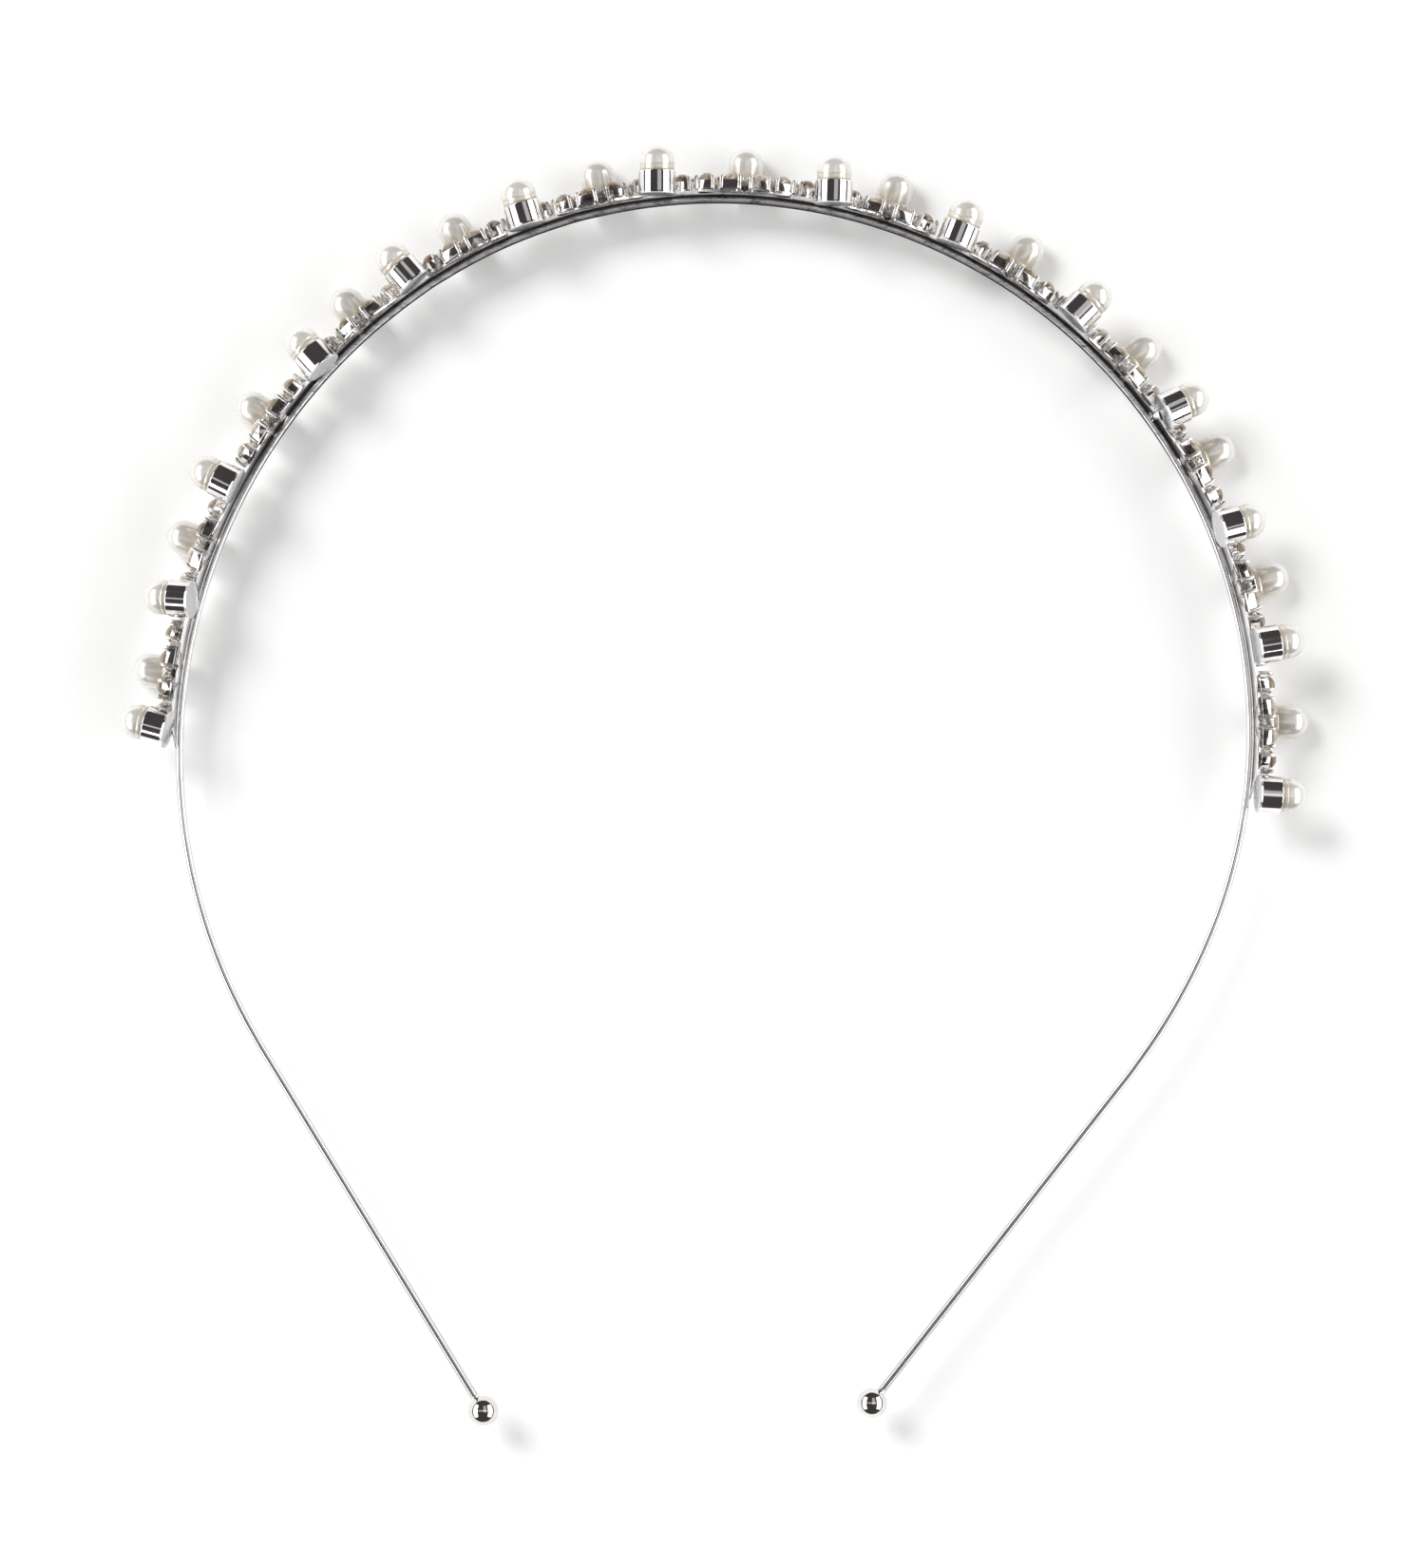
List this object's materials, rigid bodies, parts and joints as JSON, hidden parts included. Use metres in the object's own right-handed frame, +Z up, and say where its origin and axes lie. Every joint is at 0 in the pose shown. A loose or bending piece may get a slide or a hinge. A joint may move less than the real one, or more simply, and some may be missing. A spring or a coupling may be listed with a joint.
{
  "type": "headband",
  "caption": "Springy wire headband with ball ends; its crown carries a woven crystal chain between two rows of pearls in metal cups.",
  "frame": {"origin": "middle of the headband's outline, on the surface it lies on", "axes": "the hoop lies flat: +Y from the ball ends towards the crown, +X to the right as seen from above, +Z up, away from the surface"},
  "size_m": [0.136, 0.1464, 0.0102],
  "materials": {
    "wire_plate": "silver-plated round spring wire, bright polished, darker and slightly drawn towards the leg tips",
    "ball_plate": "silver-plated solid ball, mirror polished",
    "cup_plate": "silver-plated drawn cup, mirror polished with a fine foot lip",
    "claw_plate": "silver-plated stamped claw settings and link plates, bright with dark recesses",
    "pearl": "imitation pearl, ivory white nacre coat, satin to glossy",
    "crystal": "foil-backed faceted crystal, clear to pale champagne"
  },
  "bodies": {
    "crown": {"crown_wire": "wire_plate", "backing_strip": "wire_plate", "link_plates": "claw_plate", "lower_pearls_left": "pearl", "lower_pearls_crown": "pearl", "lower_pearls_right": "pearl", "stone_settings_left": "claw_plate", "stone_settings_upper_left": "claw_plate", "stone_settings_upper_right": "claw_plate", "stone_settings_right": "claw_plate", "crystals_left": "crystal", "crystals_upper_left": "crystal", "crystals_upper_right": "crystal", "crystals_right": "crystal", "upper_cup_01": "cup_plate", "upper_cup_02": "cup_plate", "upper_cup_03": "cup_plate", "upper_cup_04": "cup_plate", "upper_cup_05": "cup_plate", "upper_cup_06": "cup_plate", "upper_cup_07": "cup_plate", "upper_cup_08": "cup_plate", "upper_cup_09": "cup_plate", "upper_cup_10": "cup_plate", "upper_cup_11": "cup_plate", "upper_cup_12": "cup_plate", "upper_cup_13": "cup_plate", "upper_cup_14": "cup_plate", "upper_pearl_01": "pearl", "upper_pearl_02": "pearl", "upper_pearl_03": "pearl", "upper_pearl_04": "pearl", "upper_pearl_05": "pearl", "upper_pearl_06": "pearl", "upper_pearl_07": "pearl", "upper_pearl_08": "pearl", "upper_pearl_09": "pearl", "upper_pearl_10": "pearl", "upper_pearl_11": "pearl", "upper_pearl_12": "pearl", "upper_pearl_13": "pearl", "upper_pearl_14": "pearl", "lower_cup_01": "cup_plate", "lower_cup_02": "cup_plate", "lower_cup_03": "cup_plate", "lower_cup_04": "cup_plate", "lower_cup_05": "cup_plate", "lower_cup_06": "cup_plate", "lower_cup_07": "cup_plate", "lower_cup_08": "cup_plate", "lower_cup_09": "cup_plate", "lower_cup_10": "cup_plate", "lower_cup_11": "cup_plate", "lower_cup_12": "cup_plate", "lower_cup_13": "cup_plate"},
    "left_leg": {"left_leg_wire": "wire_plate", "left_end_ball": "ball_plate"},
    "right_leg": {"right_leg_wire": "wire_plate", "right_end_ball": "ball_plate"}
  },
  "joints": [
    {"name": "left_leg_flex", "type": "hinge", "parent": "crown", "child": "left_leg", "pos_m": [-0.06026, -0.00866, 0.0054], "axis": [0, 0, -1], "range_deg": [-6, 30], "stiffness_Nm_per_rad": 0.05},
    {"name": "right_leg_flex", "type": "hinge", "parent": "crown", "child": "right_leg", "pos_m": [0.05742, -0.01476, 0.0054], "axis": [0, 0, 1], "range_deg": [-6, 30], "stiffness_Nm_per_rad": 0.05}
  ]
}
